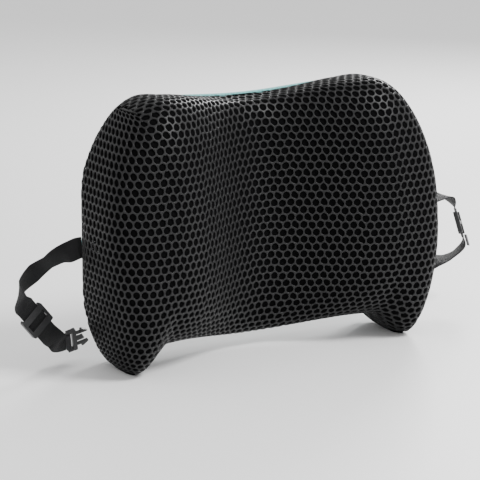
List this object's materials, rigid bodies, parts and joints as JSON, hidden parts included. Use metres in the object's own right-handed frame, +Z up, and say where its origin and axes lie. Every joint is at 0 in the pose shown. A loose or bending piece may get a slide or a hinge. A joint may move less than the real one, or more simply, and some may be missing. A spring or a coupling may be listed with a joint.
{
  "type": "lumbar support cushion",
  "caption": "Butterfly-shaped lumbar cushion with a mesh cover, zipped back and side straps that buckle behind a chair.",
  "frame": {"origin": "centre of the flat back face that leans on the chair", "axes": "+Z up, +Y out of the back face towards the chair, -Y towards the user, +X along the width"},
  "size_m": [0.6305, 0.1643, 0.3148],
  "materials": {
    "foam": "open-cell foam",
    "liner": "thin knit",
    "mesh": "spacer mesh",
    "back_fabric": "plain weave",
    "piping": "smooth welt",
    "zip_tape": "woven tape",
    "zip_coil": "nylon coil",
    "zip_metal": "black enamel",
    "label": "satin ribbon",
    "thread": "bar-tacked thread",
    "webbing": "flat woven webbing",
    "buckle_plastic": "moulded"
  },
  "bodies": {
    "cushion": {"foam_core": "foam", "inner_liner": "liner", "front_cover": "mesh", "back_panel": "back_fabric", "seam_piping": "piping", "zipper_tape_upper": "zip_tape", "zipper_tape_lower": "zip_tape", "zipper_coil_upper": "zip_coil", "zipper_coil_lower": "zip_coil", "zipper_stop_left": "zip_metal", "zipper_stop_right": "zip_metal", "care_label": "label", "left_strap_anchor": "webbing", "right_strap_anchor": "webbing", "left_box_stitch": "thread", "right_box_stitch": "thread"},
    "zip_slider": {"zipper_slider": "zip_metal"},
    "zip_pull": {"zipper_pull": "zip_metal"},
    "left_webbing": {"left_strap": "webbing", "left_strap_loop": "webbing"},
    "right_webbing": {"right_strap": "webbing", "right_strap_loop": "webbing", "right_strap_tail": "webbing"},
    "left_adjuster": {"left_triglide": "buckle_plastic"},
    "right_adjuster": {"right_triglide": "buckle_plastic"},
    "buckle_male": {"male_buckle": "buckle_plastic"},
    "prong_low": {"male_prong_lower": "buckle_plastic"},
    "prong_up": {"male_prong_upper": "buckle_plastic"},
    "buckle_female": {"female_buckle": "buckle_plastic"}
  },
  "joints": [
    {"name": "zip_travel", "type": "slide", "parent": "cushion", "child": "zip_slider", "axis": [1, 0, 0], "range_m": [-0.278, 0]},
    {"name": "zip_pull_flip", "type": "hinge", "parent": "zip_slider", "child": "zip_pull", "pos_m": [0.141, 0.0031, -0.096], "axis": [1, 0, 0], "range_deg": [0, 165]},
    {"name": "left_strap_swing", "type": "hinge", "parent": "cushion", "child": "left_webbing", "pos_m": [-0.2086, 0.0009, -0.02], "axis": [0, 0, 1], "range_deg": [-12, 0]},
    {"name": "right_strap_swing", "type": "hinge", "parent": "cushion", "child": "right_webbing", "pos_m": [0.2086, 0.0009, -0.02], "axis": [0, 0, 1], "range_deg": [0, 12]},
    {"name": "left_adjuster_slide", "type": "slide", "parent": "left_webbing", "child": "left_adjuster", "axis": [0.639, 0.13, -0.7581], "range_m": [-0.006, 0.006]},
    {"name": "right_adjuster_slide", "type": "slide", "parent": "right_webbing", "child": "right_adjuster", "axis": [0.0802, -0.3759, -0.9232], "range_m": [-0.0015, 0.0015]},
    {"name": "male_buckle_tilt", "type": "hinge", "parent": "left_webbing", "child": "buckle_male", "pos_m": [-0.2212, 0.01442, -0.13289], "axis": [0.2859, 0.4462, -0.848], "range_deg": [-5, 35]},
    {"name": "female_buckle_tilt", "type": "hinge", "parent": "right_webbing", "child": "buckle_female", "pos_m": [0.23505, 0.017, -0.1035], "axis": [0, 0, -1], "range_deg": [-5, 35]},
    {"name": "prong_low_squeeze", "type": "hinge", "parent": "buckle_male", "child": "prong_low", "pos_m": [-0.20761, 0.01717, -0.13747], "axis": [0.9579, -0.11, 0.2651], "range_deg": [0, 6], "stiffness_Nm_per_rad": 0.05},
    {"name": "prong_up_squeeze", "type": "hinge", "parent": "buckle_male", "child": "prong_up", "pos_m": [-0.21275, 0.00914, -0.1222], "axis": [-0.9579, 0.11, -0.2651], "range_deg": [0, 6], "stiffness_Nm_per_rad": 0.05}
  ]
}
